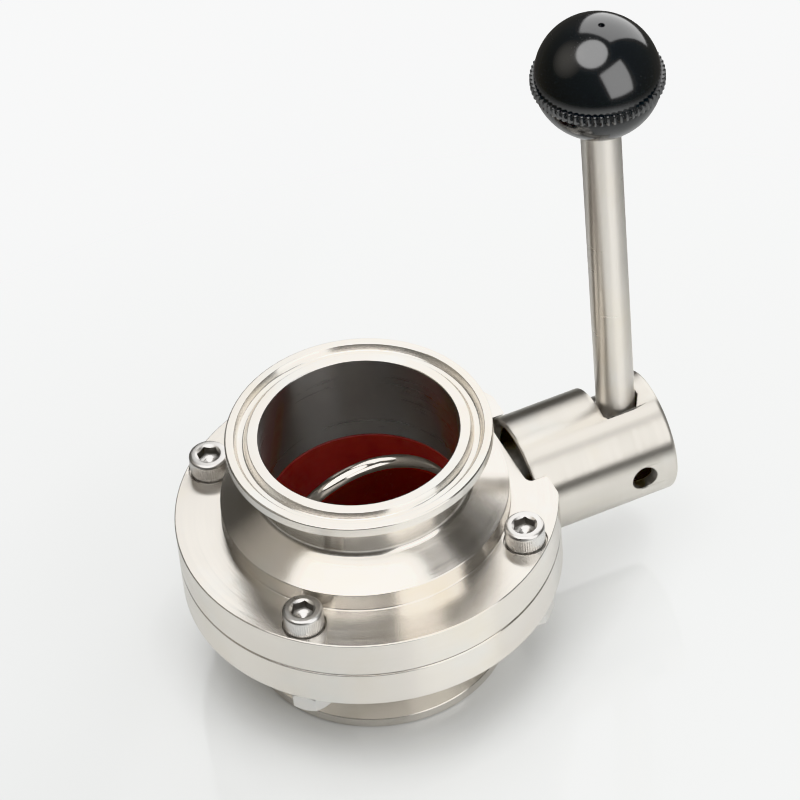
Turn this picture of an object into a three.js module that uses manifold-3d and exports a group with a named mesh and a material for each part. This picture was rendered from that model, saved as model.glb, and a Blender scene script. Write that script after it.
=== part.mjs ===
// Two-inch hygienic butterfly valve with clamp ferrules and a ball-knob lever.
// Millimetres. The bore runs along +Z and the stem along +X.
// The origin is the centre of the lower clamp face. Each piece is built about the point where the stem
// crosses the bore, and one group lifts them all by FACE_HEIGHT.
import * as THREE from "three";
import { mergeVertices } from "three/addons/utils/BufferGeometryUtils.js";
import Module from "manifold-3d";

const wasm = await Module();
wasm.setup();

// Clearances
const GAP = 0.3; // between pieces that touch or are fixed together
const RUN = 0.2; // round a shaft that turns

// Body halves
const FACE_HEIGHT = 34.85; // stem axis to either clamp face
const BORE_R = 24.1;
const FERRULE_R = 32;
const RIM_T = 2.75;
const RIM_TAPER = Math.tan(THREE.MathUtils.degToRad(20));
const GROOVE_R = 28.25; // middle of the gasket groove
const GROOVE_HALF = 1.6;
const GROOVE_DEPTH = 1.5;
const NECK_R = 26;
const NECK_FOOT_Z = 20.2; // where neck and cone would meet without their fillet
const NECK_FILLET = 2;
const SHOULDER_R = 34.85;
const SHOULDER_Z = 15.14;
const FLANGE_R = 46.4;
const FLANGE_T = 10.14; // thickness of each half
const EDGE = 0.35; // small chamfer on the outer edges
const SPLIT_GAP = GAP / 2; // each half stands this far from the split plane

// Flat, pocket and boss on the lever side
const FLAT_X = 42.45;
const POCKET_X = 37.45;
const POCKET_R = 15.7;
const POCKET_CORNER = 1.5; // between the pocket's flat wall and its round one
const BOSS_R = 12;
const BOSS_RELIEF_R = 9;
const BOSS_RELIEF_END_X = 40.6;
const BOSS_END_X = 48.5;

// Seat
const SEAT_R = BORE_R;
const SEAT_OUTER_R = 29;
const SEAT_HALF = 9.4;
const SEAT_LIP_R = 33;
const SEAT_LIP_HALF = 1.35;
const SEAT_CROWN = 0.5;

// Disc and stems
const DISC_R = 23.8;
const DISC_RIM_HALF = 1.4;
const DISC_EDGE_HALF = 2.1;
const DISC_MID_HALF = 3.4;
const DISC_RIM_W = 1.2;
const STEM_R = 5;
const DISC_BOSS_R = 6.2;
const DISC_BOSS_X = 22.6;
const DISC_BOSS_INNER_X = 9;
const DRIVE_STEM_X = 46.5;
const FAR_STEM_X = -38.5;
const TANG = 7; // square across its flats
const TANG_END_X = 58.5;

// Stem bushes and seals
const BUSH_R = 6.7;
const STEM_BORE_R = BUSH_R + GAP;
const BUSH_BORE_R = STEM_R + RUN;
const DRIVE_BUSH = [33.6, 46.2];
const FAR_BUSH = [-39.2, -33.6];
const FAR_BORE_END_X = -39.6;
const SEAL_X = 31.6;
const SEAL_RING_R = 6.05;
const SEAL_WIRE_R = 0.75;

// Flange screws and nuts (M6)
const SCREW_CIRCLE_R = 40.75;
const SCREW_ANGLES = [45, 135, 225, 315];
const SOCKET_TURNS = [12, 0, 25, 32]; // how far each hexagon socket happens to be turned
const SCREW_R = 3;
const HEAD_R = 4.85;
const HEAD_H = 6;
const HEAD_SINK = 0.8; // how deep a head stands in its spotface
const HEAD_EDGE = 0.6;
const SOCKET_FLATS = 5;
const SOCKET_DEPTH = 3;
const SPOTFACE_R = 5.25;
const NUT_FLATS = 10;
const NUT_H = 5;
const NUT_CHAMFER = 0.6;
const SCREW_TAIL = 1;
const SCREW_CHAMFER = 0.5;

// Fixed sleeve round the drive core
const SLEEVE_R = 15.4;
const SLEEVE_BORE_R = 12.4;
const SLEEVE_X = [39.15, 76.2];
const SLEEVE_END_T = 2.8;
const SLEEVE_ROUND = 1.3;
const SLEEVE_MOUTH = 1.6; // chamfer inside the open end
const WINDOW_X = [61.45, 71.9];
const WINDOW_SIDE = 5.5; // the window's end walls stand this far from the rod's two end positions
const WINDOW_INNER_CORNER = [0.85, 0.9]; // how much of a corner is cut off, along X and across it
const WINDOW_OUTER_CORNER = [2.1, 3.3];
const KEY_HOLE_R = 3.3;

// Drive core
const CORE_R = SLEEVE_BORE_R - GAP;
const CORE_END_GAP = 0.4;
const CORE_X = [BOSS_END_X + CORE_END_GAP, SLEEVE_X[1] - SLEEVE_END_T - CORE_END_GAP];
const CORE_EDGE = 0.5;
const PIN_X = 53;
const PIN_R = 1.6;
const PIN_HALF = CORE_R - 0.4;

// Lever rod, the grub screw that locks it in the core, and the sleeve's set screws
const ROD_X = 66.9;
const ROD_R = 4.8;
const ROD_FOOT_Z = -2;
const ROD_CHAMFER = 0.3;
const ROD_TIP_R = 3.9;
const ROD_TIP_Z = 115.6;
const LOCK_SCREW_R = 3;
const LOCK_SCREW_Y = [-9.1, -(ROD_R + GAP)];
const LOCK_SOCKET_FLATS = 3;
const LOCK_SOCKET_DEPTH = 2;
const SET_SCREW_X = 45.5;
const SET_SCREW_R = 2;
const SET_SCREW_SINK = 0.4;
const SET_SOCKET_FLATS = 2;
const SET_SOCKET_DEPTH = 1.6;
const SET_SCREW_ANGLES = [60, 120]; // from straight up, towards +Y

// Ball knob
const KNOB_Z = 118.4;
const KNOB_UPPER_R = 14.7;
const KNOB_BAND_R = 15.65;
const KNOB_LOWER_R = 15.1;
const KNOB_BAND_Z = [-2.1, 0.6];
const KNOB_FOOT_R = 6.6;
const KNOB_FOOT_Z = -Math.sqrt(KNOB_LOWER_R ** 2 - KNOB_FOOT_R ** 2); // below the ball's centre
const INSERT_R = 6;
const INSERT_TOP_Z = 116.6;

// How finely round things are divided
const FINE = 48;
const MEDIUM = 32;
const COARSE = 24;

const steel = { color: 0xcfccc6, roughness: 0.3, metalness: 1 };
const machined = { color: 0xb9b6b0, roughness: 0.38, metalness: 1 };
const rubber = { color: 0x6a1210, roughness: 0.5, metalness: 0 };
const plastic = { color: 0x141516, roughness: 0.15, metalness: 0 };
const ptfe = { color: 0xe8e6de, roughness: 0.5, metalness: 0 };
const brass = { color: 0xb08d4a, roughness: 0.35, metalness: 1 };

const rad = THREE.MathUtils.degToRad;

// A closed three.js geometry as a solid for joining and cutting.
function solid(geometry) {
  const bare = geometry.clone();
  bare.deleteAttribute("normal");
  bare.deleteAttribute("uv");
  const merged = mergeVertices(bare, 1e-5);
  return new wasm.Manifold(
    new wasm.Mesh({
      numProp: 3,
      vertProperties: merged.attributes.position.array,
      triVerts: new Uint32Array(merged.index.array),
    }),
  );
}

function geometryOf(shape) {
  const mesh = shape.getMesh();
  const geometry = new THREE.BufferGeometry();
  geometry.setAttribute("position", new THREE.BufferAttribute(mesh.vertProperties, 3));
  geometry.setIndex(new THREE.BufferAttribute(mesh.triVerts, 1));
  geometry.computeVertexNormals();
  return geometry;
}

const join = (...shapes) => shapes.reduce((a, b) => a.add(b));
const cut = (shape, ...tools) => tools.reduce((a, b) => a.subtract(b), shape);

// Points of an arc about (r, z) in a lathe profile; angles in degrees from the outward direction.
function arc(r, z, radius, from, to, steps) {
  return Array.from({ length: steps + 1 }, (_, i) => {
    const a = rad(from + ((to - from) * i) / steps);
    return [r + radius * Math.cos(a), z + radius * Math.sin(a)];
  });
}

// A profile of [radius, height] points, running upwards outside and turned about +Z.
function turned(points, segments = FINE) {
  const closed = points[0][0] > 0 ? [...points, points[0]] : points;
  const lathe = new THREE.LatheGeometry(closed.map(([r, z]) => new THREE.Vector2(r, z)), segments);
  return lathe.rotateX(Math.PI / 2);
}

const rod = (radius, z0, z1, segments = COARSE) =>
  turned([[0, z0], [radius, z0], [radius, z1], [0, z1]], segments);
const tube = (inner, outer, z0, z1, segments = COARSE) =>
  turned([[inner, z0], [outer, z0], [outer, z1], [inner, z1]], segments);
const alongX = (geometry) => geometry.rotateY(Math.PI / 2);

function box(x, y, z) {
  const size = [x, y, z].map(([low, high]) => high - low);
  const middle = [x, y, z].map(([low, high]) => (low + high) / 2);
  return new THREE.BoxGeometry(...size).translate(...middle);
}

function hexagon(flats, z0, z1) {
  const geometry = new THREE.CylinderGeometry(flats / Math.sqrt(3), flats / Math.sqrt(3), z1 - z0, 6);
  return geometry.rotateX(Math.PI / 2).translate(0, 0, (z0 + z1) / 2);
}

const screwPlace = (degrees) =>
  [SCREW_CIRCLE_R * Math.cos(rad(degrees)), SCREW_CIRCLE_R * Math.sin(rad(degrees)), 0];

// One half of the body, above the split plane, as turned on a lathe.
function turnedHalf() {
  const slope = Math.atan2(NECK_FOOT_Z - SHOULDER_Z, SHOULDER_R - NECK_R);
  const tangent = NECK_FILLET * Math.tan((Math.PI / 2 - slope) / 2);
  const fillet = arc(NECK_R + NECK_FILLET, NECK_FOOT_Z + tangent, NECK_FILLET,
    270 - THREE.MathUtils.radToDeg(slope), 180, 4);
  const rimFoot = FACE_HEIGHT - RIM_T;
  const grooveFall = (GROOVE_HALF ** 2 - GROOVE_DEPTH ** 2) / (2 * GROOVE_DEPTH);
  const grooveR = GROOVE_DEPTH + grooveFall;
  const grooveSpan = THREE.MathUtils.radToDeg(Math.acos(grooveFall / grooveR));
  const recessZ = SEAT_HALF + GAP;
  return turned([
    [SEAT_LIP_R + GAP, SPLIT_GAP],
    [FLANGE_R - EDGE, SPLIT_GAP],
    [FLANGE_R, SPLIT_GAP + EDGE],
    [FLANGE_R, FLANGE_T - EDGE],
    [FLANGE_R - EDGE, FLANGE_T],
    [SHOULDER_R, FLANGE_T],
    [SHOULDER_R, SHOULDER_Z - EDGE],
    [SHOULDER_R - EDGE, SHOULDER_Z],
    ...fillet,
    [NECK_R, rimFoot - (FERRULE_R - NECK_R) * RIM_TAPER],
    [FERRULE_R, rimFoot],
    [FERRULE_R, FACE_HEIGHT - EDGE],
    [FERRULE_R - EDGE, FACE_HEIGHT],
    ...arc(GROOVE_R, FACE_HEIGHT + grooveFall, grooveR, 270 + grooveSpan, 270 - grooveSpan, 5),
    [BORE_R + EDGE, FACE_HEIGHT],
    [BORE_R, FACE_HEIGHT - EDGE],
    [BORE_R, recessZ],
    [SEAT_OUTER_R + GAP, recessZ],
    [SEAT_OUTER_R + GAP, SEAT_LIP_HALF + GAP],
    [SEAT_LIP_R + GAP, SEAT_LIP_HALF + GAP],
  ]);
}

// A finished half: pocket and half-round boss for the sleeve, stem bore, screw holes and spotfaces.
function bodyHalf(spotfaced) {
  const outward = FLANGE_R + 10;
  const flat = box([FLAT_X, outward], [-outward, outward], [-1, FACE_HEIGHT]);
  const pocket = alongX(turned([
    [0, POCKET_X],
    [POCKET_R - POCKET_CORNER, POCKET_X],
    [POCKET_R, POCKET_X + POCKET_CORNER],
    [POCKET_R, outward],
    [0, outward],
  ]));
  const roundBoss = alongX(turned([
    [0, POCKET_X - 2],
    [BOSS_RELIEF_R, POCKET_X - 2],
    [BOSS_RELIEF_R, BOSS_RELIEF_END_X],
    [BOSS_R, BOSS_RELIEF_END_X],
    [BOSS_R, BOSS_END_X],
    [0, BOSS_END_X],
  ], MEDIUM));
  const boss = solid(roundBoss).intersect(
    solid(box([POCKET_X - 3, BOSS_END_X + 1], [-BOSS_R - 1, BOSS_R + 1], [SPLIT_GAP, BOSS_R + 1])));
  const stemBore = alongX(rod(STEM_BORE_R, FAR_BORE_END_X, BOSS_END_X + 1));
  const holes = SCREW_ANGLES.flatMap((degrees) => {
    const hole = rod(SCREW_R + GAP, -1, FLANGE_T + 1);
    const spotface = rod(SPOTFACE_R, FLANGE_T - HEAD_SINK - GAP, FLANGE_T + 2);
    return (spotfaced ? [hole, spotface] : [hole]).map((tool) => tool.translate(...screwPlace(degrees)));
  });
  const hollowed = cut(solid(turnedHalf()), solid(flat), solid(pocket));
  return cut(join(hollowed, boss), solid(stemBore), ...holes.map(solid));
}

function seatRing() {
  const ring = turned([
    [SEAT_R, -SEAT_HALF + SEAT_CROWN],
    [SEAT_R + SEAT_CROWN, -SEAT_HALF],
    [SEAT_OUTER_R, -SEAT_HALF],
    [SEAT_OUTER_R, -SEAT_LIP_HALF],
    [SEAT_LIP_R, -SEAT_LIP_HALF],
    [SEAT_LIP_R, SEAT_LIP_HALF],
    [SEAT_OUTER_R, SEAT_LIP_HALF],
    [SEAT_OUTER_R, SEAT_HALF],
    [SEAT_R + SEAT_CROWN, SEAT_HALF],
    [SEAT_R, SEAT_HALF - SEAT_CROWN],
  ]);
  const reach = SEAT_LIP_R + 1;
  const stemHole = alongX(rod(BUSH_BORE_R, -reach, reach));
  const lipGaps = [-reach, SEAT_OUTER_R + RUN].map((x) =>
    alongX(rod(STEM_BORE_R, x, x + reach - SEAT_OUTER_R - RUN)));
  return cut(solid(ring), solid(stemHole), ...lipGaps.map(solid));
}

// The disc stands on edge (open), so its own axis lies along Y; the stems and the square tang lie along X.
function discAndStems() {
  const plate = turned([
    [0, -DISC_MID_HALF],
    [DISC_R * 0.5, -DISC_MID_HALF * 0.92],
    [DISC_R - DISC_RIM_W, -DISC_EDGE_HALF],
    [DISC_R, -DISC_RIM_HALF],
    [DISC_R, DISC_RIM_HALF],
    [DISC_R - DISC_RIM_W, DISC_EDGE_HALF],
    [DISC_R * 0.5, DISC_MID_HALF * 0.92],
    [0, DISC_MID_HALF],
  ]).rotateX(Math.PI / 2);
  const bosses = [-DISC_BOSS_X, DISC_BOSS_INNER_X].map((x) =>
    alongX(rod(DISC_BOSS_R, x, x + DISC_BOSS_X - DISC_BOSS_INNER_X)));
  const stem = alongX(rod(STEM_R, FAR_STEM_X, DRIVE_STEM_X));
  const tang = box([DRIVE_STEM_X - 2, TANG_END_X], [-TANG / 2, TANG / 2], [-TANG / 2, TANG / 2]);
  const pinHole = rod(PIN_R + GAP, -TANG, TANG, 16).translate(PIN_X, 0, 0);
  return cut(join(solid(plate), ...bosses.map(solid), solid(stem), solid(tang)), solid(pinHole));
}

const bush = ([from, to]) => alongX(tube(BUSH_BORE_R, BUSH_R, from, to));

function stemSeal(x) {
  const section = arc(SEAL_RING_R, 0, SEAL_WIRE_R, -90, 225, 7);
  return alongX(turned(section, COARSE)).translate(x, 0, 0);
}

// A socket head cap screw with its head's underside at height 0 and its shank pointing down.
function capScrew(shankLength, socketTurn) {
  const outline = turned([
    [0, -shankLength],
    [SCREW_R - SCREW_CHAMFER, -shankLength],
    [SCREW_R, -shankLength + SCREW_CHAMFER],
    [SCREW_R, 0],
    [HEAD_R, 0],
    [HEAD_R, HEAD_H - HEAD_EDGE],
    [HEAD_R - HEAD_EDGE, HEAD_H],
    [0, HEAD_H],
  ], COARSE);
  const socket = hexagon(SOCKET_FLATS, HEAD_H - SOCKET_DEPTH, HEAD_H + 1).rotateZ(rad(socketTurn));
  return cut(solid(outline), solid(socket));
}

function hexNut() {
  const body = hexagon(NUT_FLATS, -NUT_H, 0);
  const corner = NUT_FLATS / Math.sqrt(3) + EDGE;
  const chamfers = turned([
    [0, -NUT_H - EDGE],
    [NUT_FLATS / 2 - EDGE, -NUT_H - EDGE],
    [corner, -NUT_H + NUT_CHAMFER],
    [corner, EDGE],
    [0, EDGE],
  ], COARSE);
  return cut(solid(body).intersect(solid(chamfers)), solid(rod(SCREW_R + GAP, -NUT_H - 1, 1)));
}

// The space that the window takes: a slot seen from +Z, crossed with the same slot seen from +Y.
function windowSpace() {
  const [from, to] = WINDOW_X;
  const [innerX, innerDepth] = WINDOW_INNER_CORNER;
  const [outerX, outerDepth] = WINDOW_OUTER_CORNER;
  const reach = SLEEVE_R + 2;
  const outline = new THREE.Shape([
    [from, -WINDOW_SIDE + innerDepth],
    [from + innerX, -WINDOW_SIDE],
    [to - outerX, -WINDOW_SIDE],
    [to, -WINDOW_SIDE + outerDepth],
    [to, reach],
    [from, reach],
  ].map(([x, y]) => new THREE.Vector2(x, y)));
  const slot = new THREE.ExtrudeGeometry(outline, { depth: 2 * reach, bevelEnabled: false });
  slot.translate(0, 0, -reach);
  return solid(slot).intersect(solid(slot.clone().rotateX(Math.PI / 2)));
}

// The sleeve stays still. Its window leaves the quarter turn from +Z (open) to +Y (closed) free for the rod.
function hubSleeve() {
  const [from, to] = SLEEVE_X;
  const shell = alongX(turned([
    [0, to - SLEEVE_END_T],
    [SLEEVE_BORE_R, to - SLEEVE_END_T],
    [SLEEVE_BORE_R, from + SLEEVE_MOUTH],
    [SLEEVE_BORE_R + SLEEVE_MOUTH, from],
    [SLEEVE_R - EDGE, from],
    [SLEEVE_R, from + EDGE],
    ...arc(SLEEVE_R - SLEEVE_ROUND, to - SLEEVE_ROUND, SLEEVE_ROUND, 0, 90, 4),
    [0, to],
  ]));
  const keyHole = rod(KEY_HOLE_R, CORE_R - 2, SLEEVE_R + 2).rotateX(Math.PI / 2).translate(ROD_X, 0, 0);
  const tapped = SET_SCREW_ANGLES.map((degrees) =>
    rod(SET_SCREW_R + GAP, BOSS_R - 1, SLEEVE_R + 2, 16).rotateX(-rad(degrees)).translate(SET_SCREW_X, 0, 0));
  return cut(solid(shell), windowSpace(), solid(keyHole), ...tapped.map(solid));
}

function setScrew(degrees) {
  const top = SLEEVE_R - SET_SCREW_SINK;
  const body = rod(SET_SCREW_R, BOSS_R + GAP, top, 16);
  const socket = hexagon(SET_SOCKET_FLATS, top - SET_SOCKET_DEPTH, top + 1);
  const screw = cut(solid(body), solid(socket));
  return geometryOf(screw).rotateX(-rad(degrees)).translate(SET_SCREW_X, 0, 0);
}

// The core turns with the disc. It has a square socket for the tang, a cross pin, a bore for the rod, and the
// lock screw's hole, which faces the sleeve's key hole when the valve is open.
function driveCore() {
  const [from, to] = CORE_X;
  const body = alongX(turned([
    [0, from],
    [CORE_R - CORE_EDGE, from],
    [CORE_R, from + CORE_EDGE],
    [CORE_R, to - CORE_EDGE],
    [CORE_R - CORE_EDGE, to],
    [0, to],
  ], MEDIUM));
  const half = TANG / 2 + GAP;
  const socket = box([from - 1, TANG_END_X + GAP], [-half, half], [-half, half]);
  const rodBore = rod(ROD_R + GAP, ROD_FOOT_Z - GAP, CORE_R + 1).translate(ROD_X, 0, 0);
  const lockHole = rod(LOCK_SCREW_R + GAP, 0, CORE_R + 1).rotateX(Math.PI / 2).translate(ROD_X, 0, 0);
  const pinHole = rod(PIN_R + GAP, -CORE_R - 1, CORE_R + 1, 16).translate(PIN_X, 0, 0);
  return cut(solid(body), ...[socket, rodBore, lockHole, pinHole].map(solid));
}

function handleRod() {
  const knobFoot = KNOB_Z + KNOB_FOOT_Z;
  return turned([
    [0, ROD_FOOT_Z],
    [ROD_R - ROD_CHAMFER, ROD_FOOT_Z],
    [ROD_R, ROD_FOOT_Z + ROD_CHAMFER],
    [ROD_R, knobFoot - GAP - ROD_CHAMFER],
    [ROD_R - ROD_CHAMFER, knobFoot - GAP],
    [ROD_TIP_R, knobFoot - GAP],
    [ROD_TIP_R, ROD_TIP_Z - ROD_CHAMFER],
    [ROD_TIP_R - ROD_CHAMFER, ROD_TIP_Z],
    [0, ROD_TIP_Z],
  ], MEDIUM).translate(ROD_X, 0, 0);
}

// A grub screw that presses on the rod's flank, its socket towards -Y.
function rodLockScrew() {
  const [outer, inner] = LOCK_SCREW_Y;
  const body = rod(LOCK_SCREW_R, -inner, -outer);
  const socket = hexagon(LOCK_SOCKET_FLATS, -outer - LOCK_SOCKET_DEPTH, -outer + 1);
  return geometryOf(cut(solid(body), solid(socket))).rotateX(Math.PI / 2).translate(ROD_X, 0, 0);
}

// Two hemispheres of slightly different size with the wider band between them, hollow for the insert.
function ballKnob() {
  const [bandLow, bandHigh] = KNOB_BAND_Z;
  const angle = (z, radius) => THREE.MathUtils.radToDeg(Math.asin(z / radius));
  const hollowR = INSERT_R + GAP;
  const hollowTop = INSERT_TOP_Z + GAP - KNOB_Z;
  return turned([
    [0, hollowTop],
    [hollowR, hollowTop],
    [hollowR, KNOB_FOOT_Z],
    ...arc(0, 0, KNOB_LOWER_R, angle(KNOB_FOOT_Z, KNOB_LOWER_R), angle(bandLow, KNOB_LOWER_R), 6),
    [KNOB_BAND_R, bandLow + 0.2],
    [KNOB_BAND_R, bandHigh - 0.2],
    ...arc(0, 0, KNOB_UPPER_R, angle(bandHigh, KNOB_UPPER_R), 90, 9),
  ], 40).translate(ROD_X, 0, KNOB_Z);
}

function knobInsert() {
  return tube(ROD_TIP_R + GAP, INSERT_R, KNOB_Z + KNOB_FOOT_Z + GAP, INSERT_TOP_Z).translate(ROD_X, 0, 0);
}

const valve = new THREE.Group();
const pieces = new THREE.Group();
pieces.position.z = FACE_HEIGHT;
valve.add(pieces);

function add(name, shape, look) {
  const geometry = shape.isBufferGeometry ? shape : geometryOf(shape);
  const mesh = new THREE.Mesh(geometry, new THREE.MeshStandardMaterial(look));
  mesh.name = name;
  pieces.add(mesh);
  return mesh;
}

add("upper_body", bodyHalf(true), steel);
add("lower_body", bodyHalf(false).mirror([0, 0, 1]), steel);
add("seat_ring", seatRing(), rubber);
add("disc", discAndStems(), steel);
add("drive_side_bush", bush(DRIVE_BUSH), ptfe);
add("far_side_bush", bush(FAR_BUSH), ptfe);
add("drive_side_seal", stemSeal(SEAL_X), rubber);
add("far_side_seal", stemSeal(-SEAL_X), rubber);

SCREW_ANGLES.forEach((degrees, i) => {
  const shank = 2 * FLANGE_T - HEAD_SINK + GAP + NUT_H + SCREW_TAIL;
  const [x, y] = screwPlace(degrees);
  const screw = add(`cap_screw_${i + 1}`, capScrew(shank, SOCKET_TURNS[i]), machined);
  screw.position.set(x, y, FLANGE_T - HEAD_SINK);
  const nut = add(`hex_nut_${i + 1}`, hexNut(), machined);
  nut.position.set(x, y, -FLANGE_T - GAP);
  nut.rotation.z = rad(degrees);
});

add("hub_sleeve", hubSleeve(), steel);
SET_SCREW_ANGLES.forEach((degrees, i) => add(`sleeve_set_screw_${i + 1}`, setScrew(degrees), machined));
add("drive_core", driveCore(), machined);
add("core_pin", rod(PIN_R, -PIN_HALF, PIN_HALF, 16).translate(PIN_X, 0, 0), machined);
add("handle_rod", handleRod(), steel);
add("rod_lock_screw", rodLockScrew(), machined);
add("ball_knob", ballKnob(), plastic);
add("knob_insert", knobInsert(), brass);

export default valve;
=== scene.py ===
"""The looks of a two-inch hygienic butterfly valve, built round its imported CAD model.

Shapes are made in millimetres about the point where the stem crosses the bore, and put_in_place() brings
them into the row frame in metres. The bore runs along Z and the stem along X, towards the lever.
"""

import math

import bmesh
import bpy
from mathutils import Matrix, Vector


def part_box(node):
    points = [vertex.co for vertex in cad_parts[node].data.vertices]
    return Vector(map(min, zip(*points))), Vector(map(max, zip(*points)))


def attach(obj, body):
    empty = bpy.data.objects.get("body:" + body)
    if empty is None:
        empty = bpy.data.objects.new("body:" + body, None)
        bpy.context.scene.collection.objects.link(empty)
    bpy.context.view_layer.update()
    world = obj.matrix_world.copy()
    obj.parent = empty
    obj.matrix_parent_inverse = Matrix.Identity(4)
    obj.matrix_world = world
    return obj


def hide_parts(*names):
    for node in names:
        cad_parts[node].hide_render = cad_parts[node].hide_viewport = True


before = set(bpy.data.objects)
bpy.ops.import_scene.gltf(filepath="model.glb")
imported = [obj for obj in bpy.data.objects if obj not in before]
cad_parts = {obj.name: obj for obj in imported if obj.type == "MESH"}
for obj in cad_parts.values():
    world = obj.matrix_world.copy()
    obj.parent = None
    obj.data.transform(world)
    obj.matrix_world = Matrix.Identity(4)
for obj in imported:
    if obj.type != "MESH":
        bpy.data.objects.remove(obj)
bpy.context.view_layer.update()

MM = 0.001


def cad_box(node):
    """A CAD node's lowest and highest corners in millimetres, about the stem and bore crossing."""
    low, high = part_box(node)
    return (low - CROSSING) / MM, (high - CROSSING) / MM


# ---------------------------------------------------------------- dimensions
body_low, body_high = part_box("upper_body")
CROSSING = Vector((0, 0, body_high.z / 2))  # the lower face is at 0 and the halves are alike

GAP = 0.3  # between pieces that touch or are fixed together
FACE_Z = CROSSING.z / MM
FLANGE_R = -body_low.x / MM
BOSS_END_X = body_high.x / MM
SPLIT_GAP = cad_box("upper_body")[0].z
BORE_R = 24.1
FERRULE_R = 32.0
RIM_T = 2.75
RIM_TAPER = math.tan(math.radians(20))
GROOVE_R = 28.25
GROOVE_HALF = 1.6
GROOVE_DEPTH = 1.5
NECK_R = 26.0
NECK_FOOT_Z = 20.2
NECK_FILLET = 2.0
SHOULDER_R = 34.85
SHOULDER_Z = 15.14
FLANGE_T = 10.14
FLAT_X = 42.45
POCKET_X = 37.45
POCKET_R = 15.7
POCKET_CORNER = 1.5
BOSS_R = 12.0
BOSS_RELIEF_R = 9.0
BOSS_RELIEF_END_X = 40.6
FAR_BORE_END_X = -39.6

SEAT_R = BORE_R
SEAT_OUTER_R = 29.0
SEAT_HALF = cad_box("seat_ring")[1].z
SEAT_LIP_R = cad_box("seat_ring")[1].y
SEAT_LIP_HALF = 1.35

DISC_R = 23.8
DISC_BEAD = 2.1  # half the thickness of the disc's rounded rim
DISC_MID_HALF = 3.4
DISC_FACE = ((20, 2.12), (17, 2.25), (14, 2.5), (11, 2.8), (8, 3.1),
             (4, DISC_MID_HALF), (0, DISC_MID_HALF))  # radius and half the thickness
STEM_R = 5.0
HUB_R = 6.2
HUB_X = (14.0, 22.6)
HUB_TIP_X = 3  # the hub tapers from here, inside the plate
HUB_TIP_R = 2.2
DRIVE_STEM_X = 46.5
FAR_STEM_X = cad_box("disc")[0].x
TANG = 7.0
TANG_END_X = cad_box("disc")[1].x

BUSH_R = 6.7
BUSH_BORE_R = 5.2
STEM_BORE_R = BUSH_R + GAP

SCREW_CIRCLE_R = 40.75
SCREW_ANGLES = (45, 135, 225, 315)
SOCKET_TURNS = (12, 0, 25, 32)
SCREW_R = 3.0
THREAD_PITCH = 1.0
THREAD_DEPTH = 0.45
HEAD_R = 4.85
HEAD_H = 6.0
HEAD_SINK = 0.8
SOCKET_FLATS = 5.0
SOCKET_DEPTH = 2.6
SPOTFACE_R = 5.25
NUT_FLATS = 10.0
NUT_H = 5.0
HEAD_KNURLS = 54
HEAD_KNURL_DEPTH = 0.13

SLEEVE_X = (cad_box("hub_sleeve")[0].x, cad_box("hub_sleeve")[1].x)
SLEEVE_R = cad_box("hub_sleeve")[1].z
SLEEVE_BORE_R = 12.4
SLEEVE_END_T = 2.8
SLEEVE_ROUND = 1.3
SLEEVE_MOUTH = 1.6
SLEEVE_RINGS = 10
WINDOW_X = (61.45, 71.9)
WINDOW_SIDE = 5.5
WINDOW_INNER_CORNER = (0.85, 0.9)
WINDOW_OUTER_CORNER = (2.1, 3.3)
KEY_HOLE_R = 3.3
SET_SCREW_X = 45.5
SET_SCREW_R = 2.0
SET_SCREW_ANGLES = (60, 120)

CORE_X = (cad_box("drive_core")[0].x, cad_box("drive_core")[1].x)
CORE_R = SLEEVE_BORE_R - GAP
PIN_X = 53.0
PIN_R = 1.6

ROD_X = 66.9
ROD_R = 4.8
ROD_FOOT_Z = cad_box("handle_rod")[0].z
ROD_TIP_R = 3.9
ROD_TIP_Z = cad_box("handle_rod")[1].z
LOCK_SCREW_R = 3.0
LOCK_SOCKET_FLATS = 3.0
LOCK_SOCKET_DEPTH = 2.0

KNOB_Z = 118.4
KNOB_UPPER_R = 14.7
KNOB_BAND_R = 15.65
KNOB_LOWER_R = 15.1
KNOB_BAND_Z = (-2.1, 0.6)
KNOB_FOOT_R = 6.6
KNOB_TEETH = 64
GATE_MARK_TILT = 6  # degrees from the top of the knob
GATE_MARK_AZIMUTH = -16
GATE_MARK_R = 0.8
GATE_MARK_DEPTH = 0.9
INSERT_R = 6.0
INSERT_TOP_Z = cad_box("knob_insert")[1].z

SMOOTH_BELOW = math.radians(32)  # neighbouring faces that meet flatter than this are shaded as one
WELD = 0.0003  # points of a finished piece that are nearer than this are one point
SLIVER = 0.004  # edges shorter than this are taken out before the others are broken


# ---------------------------------------------------------------- mesh tools
def rounded(corners, steps=4):
    """An outline of (x, y, radius) corners as points, with each corner turned into an arc of its radius."""
    points = []
    for i, (x, y, radius) in enumerate(corners):
        here = Vector((x, y))
        if not radius:
            points.append(here)
            continue
        back = (Vector(corners[i - 1][:2]) - here).normalized()
        on = (Vector(corners[(i + 1) % len(corners)][:2]) - here).normalized()
        half = back.angle(on) / 2
        centre = here + (back + on).normalized() * radius / math.sin(half)
        first = here + back * radius / math.tan(half) - centre
        last = here + on * radius / math.tan(half) - centre
        start = math.atan2(first.y, first.x)
        sweep = math.atan2(first.x * last.y - first.y * last.x, first.dot(last))
        points += [centre + radius * Vector((math.cos(start + sweep * k / steps),
                                             math.sin(start + sweep * k / steps)))
                   for k in range(steps + 1)]
    return points


def arc(x, y, radius, start, end, steps):
    """Points of an arc about (x, y); angles in degrees from the x direction."""
    angles = [math.radians(start + (end - start) * k / steps) for k in range(steps + 1)]
    return [Vector((x + radius * math.cos(a), y + radius * math.sin(a))) for a in angles]


def mesh_of(bm):
    """The finished mesh of a bmesh, its faces outward."""
    bmesh.ops.recalc_face_normals(bm, faces=bm.faces)
    mesh = bpy.data.meshes.new("shape")
    bm.to_mesh(mesh)
    bm.free()
    return mesh


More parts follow.
